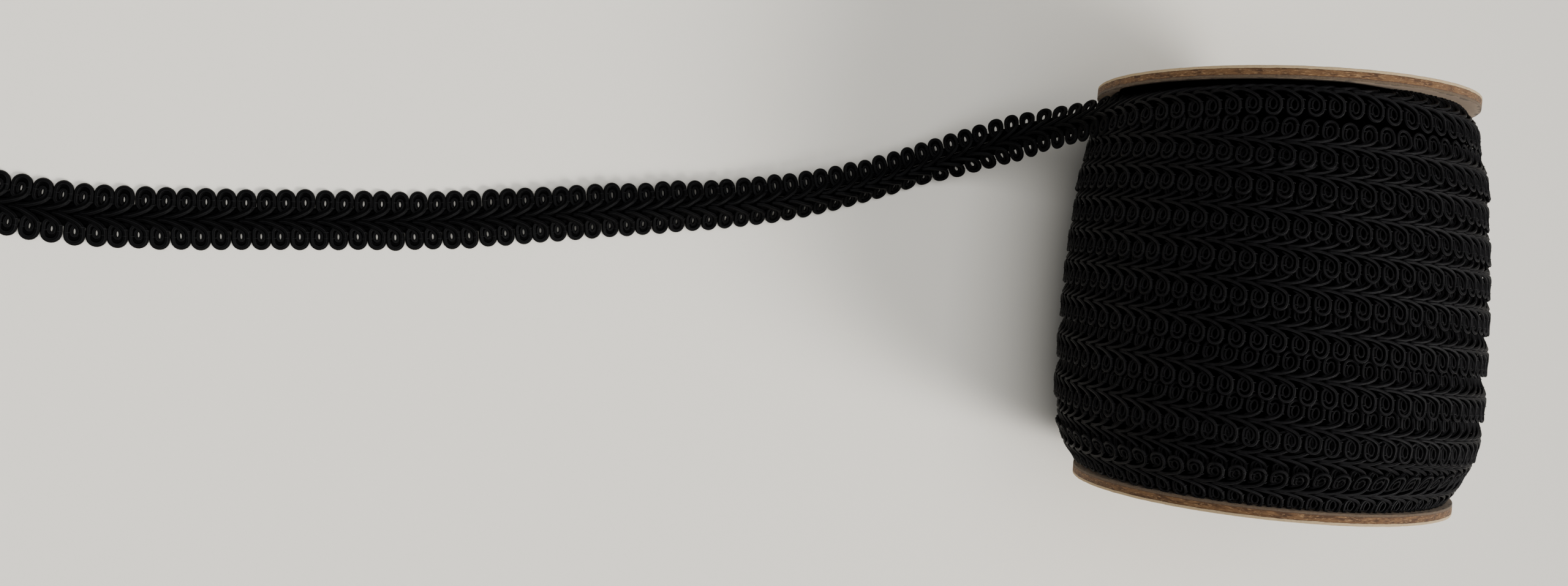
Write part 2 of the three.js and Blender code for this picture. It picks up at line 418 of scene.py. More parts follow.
INNER_DRAWN = (
    (0.10, 1.50, 0.30), (-0.40, 1.65, 0.50), (-0.68, 2.10, 0.60), (-0.72, 2.80, 0.62),
    (-0.48, 3.42, 0.60), (-0.10, 3.68, 0.58), (0.30, 3.42, 0.58), (0.48, 2.85, 0.60),
    (0.44, 2.20, 0.60), (0.15, 1.70, 0.58), (-0.40, 1.30, 0.52), (-1.00, 1.00, 0.46),
    (-1.50, 0.80, 0.40),
)
FILLING_RELAXED = (
    (-0.90, 1.95, 0.30), (-0.90, 2.90, 0.32), (-0.88, 3.80, 0.34), (-0.62, 4.45, 0.36),
    (0.00, 4.70, 0.36), (0.62, 4.45, 0.36), (0.88, 3.80, 0.34), (0.90, 2.90, 0.32),
    (0.82, 2.05, 0.30),
)
FILLING_DRAWN = (
    (-0.90, 1.75, 0.28), (-0.92, 2.50, 0.30), (-0.85, 3.20, 0.30), (-0.55, 3.80, 0.32),
    (0.00, 4.00, 0.32), (0.55, 3.80, 0.32), (0.85, 3.20, 0.30), (0.84, 2.50, 0.30),
    (0.78, 1.85, 0.28),
)


@dataclass(frozen=True)
class Stitch:
    """Where the binding thread shows over a loop's leg, relaxed and drawn out.

    Each course is its start along the braid, its end, its place from the middle and the
    height of its crown.
    """

    relaxed: tuple[float, float, float, float]
    drawn: tuple[float, float, float, float]


STITCHES = (
    Stitch((-1.70, -0.55, 3.55, 1.02), (-1.42, -0.42, 3.30, 0.88)),
    Stitch((0.70, 1.75, 3.55, 1.04), (0.85, 1.60, 3.34, 0.93)),
    Stitch((0.75, 1.85, 2.35, 1.34), (0.78, 1.55, 1.80, 1.24)),
)


def put_in_scene(name: str, mesh: bpy.types.Mesh, material: bpy.types.Material) -> bpy.types.Object:
    """Makes a mesh an object of the scene.

    Args:
        name: The object's name.
        mesh: Its mesh, with its place in it.
        material: Its material.

    Returns:
        The new object.
    """
    mesh.materials.append(material)
    mesh.validate()
    made = bpy.data.objects.new(name, mesh)
    bpy.context.collection.objects.link(made)
    return made


class CordMesh:
    """Gathers cords as tubes and writes them as one mesh."""

    FLAT_SIDES = 6
    # The mark also picks the binding thread's painted glint colour in the yarn.
    THREAD_MARK = 2.0

    def __init__(self) -> None:
        """Starts with no cords."""
        self.vertices: list[np.ndarray] = []
        self.faces: list[tuple[np.ndarray, np.ndarray]] = []
        self.count = 0

    def add(
        self,
        centres: np.ndarray,
        normals: np.ndarray,
        radius: np.ndarray,
        sides: int,
        thread: bool = False,
    ) -> None:
        """Adds cords that all have the same number of points.

        Args:
            centres: The cords' points, cord by cord.
            normals: A direction at each point that isn't along the cord.
            radius: The cords' radius at each point.
            sides: How many sides each cord has.
            thread: Whether they are binding thread, whose v gets THREAD_MARK added to it.
        """
        along = unit(np.gradient(centres, axis=1))
        up = unit(normals - along * np.sum(normals * along, axis=-1, keepdims=True))
        beside = np.cross(along, up)
        angle = 2 * np.pi * np.arange(sides) / sides
        rise, run = np.cos(angle)[:, None], np.sin(angle)[:, None]
        spokes = rise * up[:, :, None, :] + run * beside[:, :, None, :]
        points = centres[:, :, None, :] + radius[:, :, None, None] * spokes
        self.join(points, centres, self.THREAD_MARK if thread else 0.0)

    def add_flat(
        self,
        centres: np.ndarray,
        normals: np.ndarray,
        across: np.ndarray,
        half_width: float,
        half_height: float,
    ) -> None:
        """Adds one flat thread.

        Args:
            centres: Its points.
            normals: The directions out of its face.
            across: The directions across it.
            half_width: Half its width.
            half_height: Half its thickness.
        """
        angle = 2 * np.pi * np.arange(self.FLAT_SIDES) / self.FLAT_SIDES
        wide = half_width * np.sin(angle)[None, :, None] * across[:, None, :]
        high = half_height * np.cos(angle)[None, :, None] * normals[:, None, :]
        points = centres[:, None, :] - wide + high
        self.join(points[None], centres[None], 0.0)

    def join(self, points: np.ndarray, centres: np.ndarray, mark: float) -> None:
        """Closes rings of points to tubes.

        Args:
            points: The rings' points, cord by cord and ring by ring.
            centres: The rings' middles.
            mark: What the map adds to v.
        """
        cords, rings, sides, _ = points.shape
        start = self.count + (np.arange(cords) * rings * sides)[:, None, None]
        ring = (np.arange(rings - 1) * sides)[None, :, None]
        here = np.arange(sides)[None, None, :]
        after = (here + 1) % sides
        corner = start + ring
        quads = np.stack(
            [corner + here, corner + after, corner + after + sides, corner + here + sides], axis=-1
        )
        step = np.linalg.norm(np.diff(centres, axis=1), axis=2)
        run = np.concatenate([np.zeros((cords, 1)), np.cumsum(step, axis=1)], axis=1)
        low = np.broadcast_to(run[:, :-1, None], quads.shape[:3])
        high = np.broadcast_to(run[:, 1:, None], quads.shape[:3])
        left = np.broadcast_to(here / sides + mark, quads.shape[:3])
        right = np.broadcast_to((here + 1) / sides + mark, quads.shape[:3])
        marks = np.stack([
            np.stack([low, left], -1), np.stack([low, right], -1),
            np.stack([high, right], -1), np.stack([high, left], -1),
        ], axis=-2)
        self.vertices.append(points.reshape(-1, 3))
        self.faces.append((quads.reshape(-1, 4), marks.reshape(-1, 4, 2)))
        first = (self.count + np.arange(cords) * rings * sides)[:, None] + np.arange(sides)
        last = first + (rings - 1) * sides
        for cap in (first[:, ::-1], last):
            self.faces.append((cap, np.full((cords, sides, 2), mark)))
        self.count += cords * rings * sides

    def write(self, name: str, material: bpy.types.Material) -> bpy.types.Object:
        """Writes the cords as one object.

        Args:
            name: The object's name.
            material: Its material.

        Returns:
            The new object.
        """
        points = np.vstack(self.vertices)
        points[:, 2] = pressed(points[:, 2])
        corners = np.concatenate([quads.ravel() for quads, _ in self.faces])
        marks = np.concatenate([mark.reshape(-1, 2) for _, mark in self.faces])
        totals = np.concatenate([np.full(len(quads), quads.shape[1]) for quads, _ in self.faces])
        starts = np.concatenate([[0], np.cumsum(totals)[:-1]])
        mesh = bpy.data.meshes.new(name)
        mesh.vertices.add(len(points))
        mesh.vertices.foreach_set("co", (points * MM).astype(np.float32).ravel())
        mesh.loops.add(len(corners))
        mesh.loops.foreach_set("vertex_index", corners.astype(np.int32))
        mesh.polygons.add(len(totals))
        mesh.polygons.foreach_set("loop_start", starts.astype(np.int32))
        mesh.polygons.foreach_set("loop_total", totals.astype(np.int32))
        mesh.polygons.foreach_set("use_smooth", np.ones(len(totals), dtype=bool))
        mesh.update(calc_edges=True)
        layer = mesh.uv_layers.new(name="cord")
        layer.data.foreach_set("uv", marks.astype(np.float32).ravel())
        return put_in_scene(name, mesh, material)


def pressed(z: np.ndarray) -> np.ndarray:
    """Presses what would reach below the table flat on it.

    Args:
        z: Heights over the table.

    Returns:
        The heights, eased so that none is below the table.
    """
    return np.where(z < PRESS_REACH, PRESS_REACH * np.exp((z - PRESS_REACH) / PRESS_REACH), z)


@dataclass
class Braid:
    """The gimp's cords along the ribbon.

    skew sets the two rows of loops apart along the braid, and the four spreads are how much
    the loops differ in place, lean, size and height.
    """

    ribbon: Ribbon
    pitch_relaxed: float = 3.52
    pitch_drawn: float = 3.40
    first_loop: float = 5.2
    stitch_radius: float = 0.075
    stitch_arch: float = 0.42
    stitch_points: int = 5
    stitch_sides: int = 4
    skew: float = 0.52
    shift_spread: float = 0.04
    lean_spread: float = 0.015
    swell_spread: float = 0.012
    lift_spread: float = 0.04
    ground: tuple[tuple[float, float], ...] = ((-1.6, 2.0), (0.0, 1.8), (1.6, 2.0))
    ground_thickness: float = 0.16
    ground_height: float = 0.3
    seed: int = 7
    loops: np.ndarray = field(init=False)

    def __post_init__(self) -> None:
        """Counts the loops off along the ribbon."""
        places = [self.first_loop]
        change = self.pitch_drawn - self.pitch_relaxed
        while places[-1] < self.ribbon.length - self.pitch_drawn:
            drawn = float(self.ribbon.tension(np.array(places[-1])))
            places.append(places[-1] + self.pitch_relaxed + drawn * change)
        self.loops = np.array(places)

    def lay(
        self,
        cords: CordMesh,
        first: int,
        last: int,
        kinds: tuple[LoopCord, ...],
        stitched: bool = True,
    ) -> None:
        """Lays the cords of some loops.

        Args:
            cords: The mesh that takes them.
            first: The first loop.
            last: One past the last loop.
            kinds: The cords of one loop.
            stitched: Whether the binding thread is laid over them.
        """
        centre = self.loops[first:last]
        drawn = self.ribbon.tension(centre)[:, None, None]
        for side in Side:
            draw = np.random.default_rng([self.seed, first, side is Side.UPPER])
            shape = (len(centre), 1)
            skew = side.value * self.skew * (1 - drawn[..., 0])
            shift = skew + draw.normal(0, self.shift_spread, shape)
            lean = draw.normal(0, self.lean_spread, shape)
            swell = 1 + draw.normal(0, self.swell_spread, shape)
            lift = draw.normal(0, self.lift_spread, shape)
            for cord in kinds:
                relaxed, taut = cord.courses()
                course = relaxed * (1 - drawn) + taut * drawn
                reach = course[..., 1] * swell
                s = centre[:, None] + shift + course[..., 0] + lean * reach
                h = course[..., 2] + lift * np.clip(reach / 2, 0, 1)
                points, normals = self.ribbon.place(s, side.value * reach, h)
                thin = cord.drawn_radius - cord.relaxed_radius
                radius = cord.relaxed_radius + thin * drawn[..., 0] + np.zeros(points.shape[:2])
                cords.add(points, normals, radius, cord.sides)
            if stitched:
                self.stitch(cords, centre[:, None] + shift, side, drawn[..., 0])

    def stitch(self, cords: CordMesh, centre: np.ndarray, side: Side, drawn: np.ndarray) -> None:
        """Lays the fine binding thread where it crosses the loops' legs.

        Args:
            cords: The mesh that takes it.
            centre: The loops' middles along the ribbon.
            side: The row of loops.
            drawn: How far the braid is drawn out at each loop.
        """
        share = np.linspace(0, 1, self.stitch_points)
        for stitch in STITCHES:
            relaxed, taut = np.array(stitch.relaxed), np.array(stitch.drawn)
            values = relaxed + (taut - relaxed) * drawn
            start, end, w, crown = (values[:, i:i + 1] for i in range(4))
            s = centre + start + (end - start) * share
            h = crown - self.stitch_arch * (2 * share - 1) ** 2
            points, normals = self.ribbon.place(s, side.value * w + 0 * s, h)
            radius = np.full(points.shape[:2], self.stitch_radius)
            cords.add(points, normals, radius, self.stitch_sides, thread=True)

    def lay_ground(self, cords: CordMesh, start: float, end: float, step: float) -> None:
        """Lays the flat threads that the cords are plaited over.

        Args:
            cords: The mesh that takes them.
            start: Where they start along the ribbon.
            end: Where they end.
            step: How far apart their points lie.
        """
        s = np.linspace(start, end, int((end - start) / step))
        height = np.full_like(s, self.ground_height)
        for w, width in self.ground:
            points, normals = self.ribbon.place(s, np.full_like(s, w), height)
            across = np.cross(unit(np.gradient(points, axis=0)), normals)
            cords.add_flat(points, normals, across, width / 2, self.ground_thickness / 2)


@dataclass(frozen=True)
class YarnFinish:
    """Black rayon cord with fine strands laid along it, and a lighter binding thread.

    The light colour is a painted highlight on the crowns of the strands and the dark colour
    painted shade in their hollows; the binding thread's lighter colour is a painted glint.
    The strands turn round the cord by twist for each millimetre along it.
    """

    name: str = "black_yarn_painted_lit"
    # dark is painted shade in the strands' hollows, light a painted highlight on their crowns.
    dark: Colour = (0.0001, 0.0001, 0.0001)
    light: Colour = (0.0180, 0.0168, 0.0180)
    # The binding thread's colour is a painted glint, lighter than the cord's.
    thread: Colour = (0.0200, 0.0198, 0.0205)
    roughness: float = 0.55
    roughness_spread: float = 0.16
    strands: float = 6.0
    twist: float = 0.04
    # The share of the painted highlight that is kept in the strands' hollows.
    hollow_painted_light: float = 0.15
    blotch_scale: float = 900.0
    fibre_scale: float = 9000.0
    fibre_relief: float = 0.4
    strand_relief: float = 0.07
    bump_strength: float = 0.9
    specular: float = 0.07

    def material(self) -> bpy.types.Material:
        """Builds the material.

        Returns:
            The material, which reads the cords' own map.
        """
        nodes = Nodes(self.name)
        place = nodes.add("ShaderNodeUVMap")
        place.uv_map = "cord"
        split = nodes.add("ShaderNodeSeparateXYZ", Vector=place.outputs["UV"])
        round_cord = nodes.math("MULTIPLY", split.outputs["Y"], self.strands * 2 * math.pi)
        along_cord = nodes.math("MULTIPLY", split.outputs["X"], self.twist * 2 * math.pi)
        wave = nodes.math("COSINE", nodes.math("ADD", round_cord, along_cord))
        strand = nodes.math("MULTIPLY_ADD", wave, -0.5, 0.5)
        where = nodes.add("ShaderNodeTexCoord").outputs["Object"]
        blotch = nodes.noise(where, self.blotch_scale, 3.0)
        # The strands' crowns are painted lighter and their hollows darker: painted highlight and
        # painted shade.
        crown = nodes.math("MULTIPLY_ADD", strand, 1 - self.hollow_painted_light, self.hollow_painted_light)
        lit = nodes.math("MULTIPLY", crown, blotch)
        colour = nodes.mix(lit, self.dark, self.light)
        # Where the map marks binding thread, its painted glint colour takes over.
        is_thread_glint = nodes.math("GREATER_THAN", split.outputs["Y"], CordMesh.THREAD_MARK - 0.5)
        colour = nodes.mix(is_thread_glint, colour, self.thread)
        fibre = nodes.noise(where, self.fibre_scale, 2.0)
        relief = nodes.math("MULTIPLY_ADD", fibre, self.fibre_relief, strand)
        normal = nodes.bump(relief, self.bump_strength, self.strand_relief)
        smoothest = self.roughness - self.roughness_spread / 2
        rough = nodes.math("MULTIPLY_ADD", blotch, self.roughness_spread, smoothest)
        nodes.shade(colour, rough, normal, sheen=0.0, specular=self.specular)
        return nodes.material


# The wraps' copy of the yarn is painted about three times lighter than the loose end's, which is
# painted darker: painted light and painted shade on one black yarn.
WOUND_YARN_PAINTED_LIT = YarnFinish()
LOOSE_YARN_PAINTED_SHADE = YarnFinish(
    "loose_yarn_painted_shade", light=(0.0052, 0.0050, 0.0054), thread=(0.014, 0.014, 0.0145), specular=0.05
)
# The filling cords and ground threads under the loose end's loops get a darker copy of the yarn:
# painted shade.
GROUND_YARN_PAINTED_SHADE = YarnFinish("ground_yarn_painted_shade", light=(0.0016, 0.0015, 0.0017), specular=0.02)
# The layer under the wraps gets a near-black copy of the yarn: painted shade between the wraps and
# under the flange's rim.
SHADED_YARN = YarnFinish(
    "shaded_yarn", dark=(0.00002, 0.00002, 0.00002), light=(0.0002, 0.0002, 0.0002), specular=0.0
)


@dataclass(frozen=True)
class BoardFinish:
    """Brown fibre board between a pale outer liner and a dark inner one, seen at its cut rim.

    side is the sign of the flange's place on the axis, and turn is how far it is out of
    square. The layers are told apart by their depth from the board's inner face, their
    borders waver, and the fibres' pattern is flattened along the axis.
    """

    name: str
    side: float
    turn: float
    core: Colour = (0.118, 0.060, 0.024)
    core_dark: Colour = (0.046, 0.021, 0.009)
    core_light: Colour = (0.24, 0.145, 0.068)
    outer_liner: Colour = (0.36, 0.265, 0.15)
    inner_liner: Colour = (0.085, 0.058, 0.036)
    inner_face: Colour = (0.22, 0.155, 0.10)
    outer_thickness: float = 0.55
    inner_thickness: float = 0.5
    face_depth: float = 0.02
    seam: float = 0.09
    waver: float = 0.3
    streak_scale: float = 420.0
    streak_bounds: tuple[float, float] = (0.38, 0.56)
    fleck_scale: float = 1100.0
    fleck_bounds: tuple[float, float] = (0.54, 0.70)
    speck_scale: float = 2600.0
    flattened: float = 4.0
    relief: float = 0.22
    relief_strength: float = 0.8
    roughness: float = 0.85

    def specked(
        self,
        nodes: "Nodes",
        speck: bpy.types.NodeSocket,
        bounds: tuple[float, float],
        colour: Colour,
        shade: float,
    ) -> bpy.types.NodeSocket:
        """Darkens a colour in specks.

        Args:
            nodes: The material's nodes.
            speck: The noise that makes the specks.
            bounds: Where in the noise they start and are full.
            colour: The colour between them.
            shade: The specks' share of its brightness.

        Returns:
            The specked colour.
        """
        return nodes.mix(nodes.ramp(speck, *bounds), colour, tuple(c * shade for c in colour))

    def material(self) -> bpy.types.Material:
        """Builds the material.

        Returns:
            The material, which tells the layers by their depth in the board.
        """
        nodes = Nodes(self.name)
        where = nodes.add("ShaderNodeTexCoord").outputs["Object"]
        square = nodes.add("ShaderNodeMapping", Vector=where)
        square.vector_type = "TEXTURE"
        inner_face_y = self.side * WINDING_LENGTH / 2
        square.inputs["Location"].default_value = (FLANGE_SHIFT * MM, inner_face_y * MM, 0)
        square.inputs["Rotation"].default_value = (0, 0, math.radians(self.turn))
        split = nodes.add("ShaderNodeSeparateXYZ", Vector=square.outputs["Vector"])
        depth = nodes.math("MULTIPLY", split.outputs["Y"], self.side)
        fibres = nodes.add("ShaderNodeMapping", Vector=square.outputs["Vector"])
        fibres.inputs["Scale"].default_value = (1.0, self.flattened, 1.0)
        streak = nodes.noise(fibres.outputs["Vector"], self.streak_scale, 6.0, 0.6)
        fleck = nodes.noise(fibres.outputs["Vector"], self.fleck_scale, 3.0, 0.6)
        brown = nodes.mix(nodes.ramp(streak, *self.streak_bounds), self.core_dark, self.core)
        brown = nodes.mix(nodes.ramp(fleck, *self.fleck_bounds), brown, self.core_light)
        waver = self.waver * MM
        shifted = nodes.math("ADD", depth, nodes.math("MULTIPLY_ADD", streak, waver, -waver / 2))
        outer_start = (FLANGE_THICKNESS - self.outer_thickness) * MM
        inner_end = self.inner_thickness * MM
        for border in (outer_start, inner_end):
            away = nodes.math("ABSOLUTE", nodes.math("SUBTRACT", shifted, border))
            brown = nodes.mix(nodes.math("LESS_THAN", away, self.seam * MM), brown, self.core_dark)
        is_outer = nodes.math("GREATER_THAN", shifted, outer_start)
        is_inner = nodes.math("LESS_THAN", shifted, inner_end)
        speck = nodes.noise(where, self.speck_scale, 2.0, 0.6)
        outer = self.specked(nodes, speck, (0.50, 0.85), self.outer_liner, 0.7)
        inner = self.specked(nodes, speck, (0.45, 0.80), self.inner_liner, 0.6)
        colour = nodes.mix(is_inner, nodes.mix(is_outer, brown, outer), inner)
        face = self.specked(nodes, speck, (0.45, 0.80), self.inner_face, 0.75)
        is_face = nodes.math("LESS_THAN", depth, self.face_depth * MM)
        colour = nodes.mix(is_face, colour, face)
        height = nodes.math("MULTIPLY_ADD", fleck, 0.5, streak)
        normal = nodes.bump(height, self.relief_strength, self.relief)
        nodes.shade(colour, self.roughness, normal, sheen=0.05, specular=0.25)
        return nodes.material


class Nodes:
    """Writes one material's nodes."""

    def __init__(self, name: str) -> None:
        """Starts an empty material.

        Args:
            name: The material's name.
        """
        self.material = bpy.data.materials.new(name)
        self.material.use_nodes = True
        self.tree = self.material.node_tree
        self.tree.nodes.clear()

    def feed(self, socket: bpy.types.NodeSocket, value: object) -> None:
        """Links a socket, or sets its value.

        Args:
            socket: The socket.
            value: Another node's socket, a number or a colour.
        """
        if isinstance(value, bpy.types.NodeSocket):
            self.tree.links.new(value, socket)
        elif isinstance(value, tuple) and len(value) == 3 and socket.type == "RGBA":
            socket.default_value = (*value, 1.0)
        else:
            socket.default_value = value

    def add(self, kind: str, **inputs: object) -> bpy.types.Node:
        """Adds a node and feeds its inputs.

        Args:
            kind: The node's type.
            **inputs: What each input takes, by its name with an underscore for a space.

        Returns:
            The node.
        """
        node = self.tree.nodes.new(kind)
        for name, value in inputs.items():
            self.feed(node.inputs[name.replace("_", " ")], value)
        return node

    def math(self, operation: str, *values: object) -> bpy.types.NodeSocket:
        """Adds a sum.

        Args:
            operation: What it does.
            *values: What it takes, in order.

        Returns:
            Its result.
        """
        node = self.tree.nodes.new("ShaderNodeMath")
        node.operation = operation
        for socket, value in zip(node.inputs, values):
            self.feed(socket, value)
        return node.outputs["Value"]

    def noise(
        self, where: bpy.types.NodeSocket, scale: float, detail: float, rough: float = 0.5
    ) -> bpy.types.NodeSocket:
        """Adds noise and gives its value."""
        node = self.add("ShaderNodeTexNoise", Vector=where, Scale=scale, Detail=detail, Roughness=rough)
        return node.outputs["Fac"]

    def bump(self, height: object, strength: float, relief: float) -> bpy.types.NodeSocket:
        """Raises the surface by at most the relief and gives its normal."""
        node = self.add("ShaderNodeBump", Height=height, Strength=strength, Distance=relief * MM)
        return node.outputs["Normal"]

    def ramp(self, value: bpy.types.NodeSocket, low: float, high: float) -> bpy.types.NodeSocket:
        """Spreads the values between two bounds from 0 to 1.

        Args:
            value: The values.
            low: The bound that gives 0.
            high: The bound that gives 1.

        Returns:
            The spread values.
        """
        node = self.tree.nodes.new("ShaderNodeMapRange")
        self.feed(node.inputs["Value"], value)
        self.feed(node.inputs["From Min"], low)
        self.feed(node.inputs["From Max"], high)
        return node.outputs["Result"]

    def mix(self, share: object, first: object, second: object) -> bpy.types.NodeSocket:
        """Mixes two colours.

        Args:
            share: The second colour's share.
            first: The first colour.
            second: The second colour.

        Returns:
            The mixed colour.
        """
        node = self.tree.nodes.new("ShaderNodeMix")
        node.data_type = "RGBA"
        # The node has a set of sockets for each data type: these are the ones for colours.
        self.feed(node.inputs[0], share)
        self.feed(node.inputs[6], first)
        self.feed(node.inputs[7], second)
        return node.outputs[2]

    def shade(
        self, colour: object, rough: object, normal: object, sheen: float, specular: float
    ) -> None:
        """Finishes the material with its shader.

        Args:
            colour: The base colour.
            rough: The roughness.
            normal: The bumped normal.
            sheen: The sheen's weight.
            specular: The specular level.
        """
        shader = self.tree.nodes.new("ShaderNodeBsdfPrincipled")
        self.feed(shader.inputs["Base Color"], colour)
        self.feed(shader.inputs["Roughness"], rough)
        self.feed(shader.inputs["Normal"], normal)
        shader.inputs["Sheen Weight"].default_value = sheen
        shader.inputs["Sheen Roughness"].default_value = 0.5
        shader.inputs["Specular IOR Level"].default_value = specular
        end = self.tree.nodes.new("ShaderNodeOutputMaterial")
        self.tree.links.new(shader.outputs["BSDF"], end.inputs["Surface"])


@dataclass
class Trim:
    """The whole braid: the loose end and the wraps, each cord in place.

    The ground threads of the loose end start at ground_start and run on past the joint.
    """

    wound_pieces: int = 5
    ground_start: float = 1.5
    ground_past_joint: float = 3.0
    ground_step: float = 0.9
    loose: tuple[LoopCord, ...] = (
        LoopCord(OUTER_RELAXED, OUTER_DRAWN, 0.50, 0.43, 8, 0.42),
        LoopCord(INNER_RELAXED, INNER_DRAWN, 0.42, 0.33, 6, 0.36),
    )
    filling: tuple[LoopCord, ...] = (LoopCord(FILLING_RELAXED, FILLING_DRAWN, 0.34, 0.28, 6, 0.45),)
    wound: tuple[LoopCord, ...] = (
        LoopCord(OUTER_RELAXED, OUTER_DRAWN, 0.475, 0.31, 6, 0.60),
        LoopCord(INNER_RELAXED, INNER_DRAWN, 0.30, 0.20, 5, 0.52),
    )

    def build(self) -> None:
        """Builds the loose end, the wraps and the layer beneath them."""
        ribbon = Ribbon()
        braid = Braid(ribbon)
        yarn = WOUND_YARN_PAINTED_LIT.material()
        joint = int(np.searchsorted(braid.loops, ribbon.joint))
        self.build_loose_end(braid, joint)
        ends = np.linspace(joint, len(braid.loops), self.wound_pieces + 1).astype(int)
        for number, (first, last) in enumerate(zip(ends[:-1], ends[1:]), start=1):
            cords = CordMesh()
            braid.lay(cords, first, last, self.wound)
            dress(cords.write(f"wound_braid_{number}", yarn), "winding")
        dress(UnderLayer().build(SHADED_YARN.material()), "winding")

    def build_loose_end(self, braid: Braid, joint: int) -> None:
        """Builds the loose end and the threads under it, and logs what they stand for.

        Args:
            braid: The braid.
            joint: The first loop on the reel.
        """
        cords = CordMesh()
        braid.lay(cords, 0, joint, self.loose)
        piece = cords.write("loose_end", LOOSE_YARN_PAINTED_SHADE.material())
        dress(piece, "tail")
        under = CordMesh()
        braid.lay(under, 0, joint, self.filling, stitched=False)
        end = braid.ribbon.joint + self.ground_past_joint
        braid.lay_ground(under, self.ground_start, end, self.ground_step)
        ground = under.write("loose_ground", GROUND_YARN_PAINTED_SHADE.material())
        dress(ground, "tail")


@dataclass
class UnderLayer:
    """The layer of the winding that shows as a dark ground between the wraps.

    Its near-black colour is painted shade, in the gaps between the wraps and under the +Y
    flange's rim. Its rows lie closer together beside the +Y flange. There it rises in a ridge,
    from the first of ridge_angles to the last, and it leans with the flange over lean_reach.
    """

    sides: int = 120
    rows: int = 90
    edge_rows: int = 14
    edge_width: float = 1.8
    edge_gap: float = 0.2
    depth: float = 2.5
    end_gap: float = 0.25
    ripple: float = 0.12
    ripple_spacing: float = 1.6
    ridge_depth: float = 0.5
    ridge_width: float = 1.0
    ridge_slope: float = 0.4
    ridge_angles: tuple[float, float, float, float] = (-14.0, -2.0, 70.0, 92.0)
    lean: float = 1.4
    lean_reach: float = 12.0

    @property
    def reach(self) -> float:
        """How far the layer reaches from the reel's middle."""
        return WINDING_LENGTH / 2 - self.end_gap

    def rings(self) -> np.ndarray:
        """Works out the barrel's rings.

        Returns:
            The points, ring by ring from the -Y end.
        """
        edge = self.reach - self.edge_width
        y = np.concatenate([
            np.linspace(-self.reach, edge - self.edge_gap, self.rows - self.edge_rows),
            np.linspace(edge, self.reach, self.edge_rows),
        ])[:, None]
        angle = np.linspace(0, 2 * np.pi, self.sides, endpoint=False)
        ripple = self.ripple * np.cos(y * 2 * np.pi / self.ripple_spacing)
        radius = crown_radius(y) - self.depth + ripple
        heights = np.interp(np.degrees(np.pi - angle), self.ridge_angles, (0, 1, 1, 0))
        inside = y - self.reach
        ridge = np.clip((inside + self.ridge_width) / self.ridge_slope, 0, 1) * heights
        radius = radius + ridge * (FLANGE_RADIUS - self.ridge_depth - radius)
        x = radius * np.cos(angle)
        z = AXIS_HEIGHT + radius * np.sin(angle)
        share = np.clip((inside + self.lean_reach) / self.lean_reach, 0, 1)
        return np.stack([x, y - share * math.tan(math.radians(self.lean)) * x, z], axis=-1)

    def faces(self) -> list[tuple[int, ...]]:
        """Joins the rings and closes each end with a fan.

        Returns:
            The corners of each face, where the two ends' middles come after the rings.
        """
        faces: list[tuple[int, ...]] = []
        top = (self.rows - 1) * self.sides
        low = self.rows * self.sides
        around = [(side, (side + 1) % self.sides) for side in range(self.sides)]
        for row in range(0, top, self.sides):
            for side, after in around:
                a, b = row + side, row + after
                faces.append((a, a + self.sides, b + self.sides, b))
        for side, after in around:
            faces.append((low, side, after))
            faces.append((low + 1, top + after, top + side))
        return faces

    def build(self, yarn: bpy.types.Material) -> bpy.types.Object:
        """Builds the layer as a closed barrel.

        Args:
            yarn: Its material.

        Returns:
            The new object.
        """
        ends = np.array([[0, -self.reach, AXIS_HEIGHT], [0, self.reach, AXIS_HEIGHT]])
        points = np.vstack([self.rings().reshape(-1, 3), ends])
        points[:, 2] = pressed(points[:, 2])
        mesh = bpy.data.meshes.new("under_layer")
        mesh.from_pydata((points * MM).tolist(), [], self.faces())
        marks = mesh.uv_layers.new(name="cord")
        corners = np.array([loop.vertex_index for loop in mesh.loops])
        around = np.arctan2(points[corners, 2] - AXIS_HEIGHT, points[corners, 0]) / (2 * np.pi)
        place = np.stack([points[corners, 1], around], -1)
        marks.data.foreach_set("uv", place.astype(np.float32).ravel())
        for polygon in mesh.polygons:
            polygon.use_smooth = True
        return put_in_scene("under_layer", mesh, yarn)


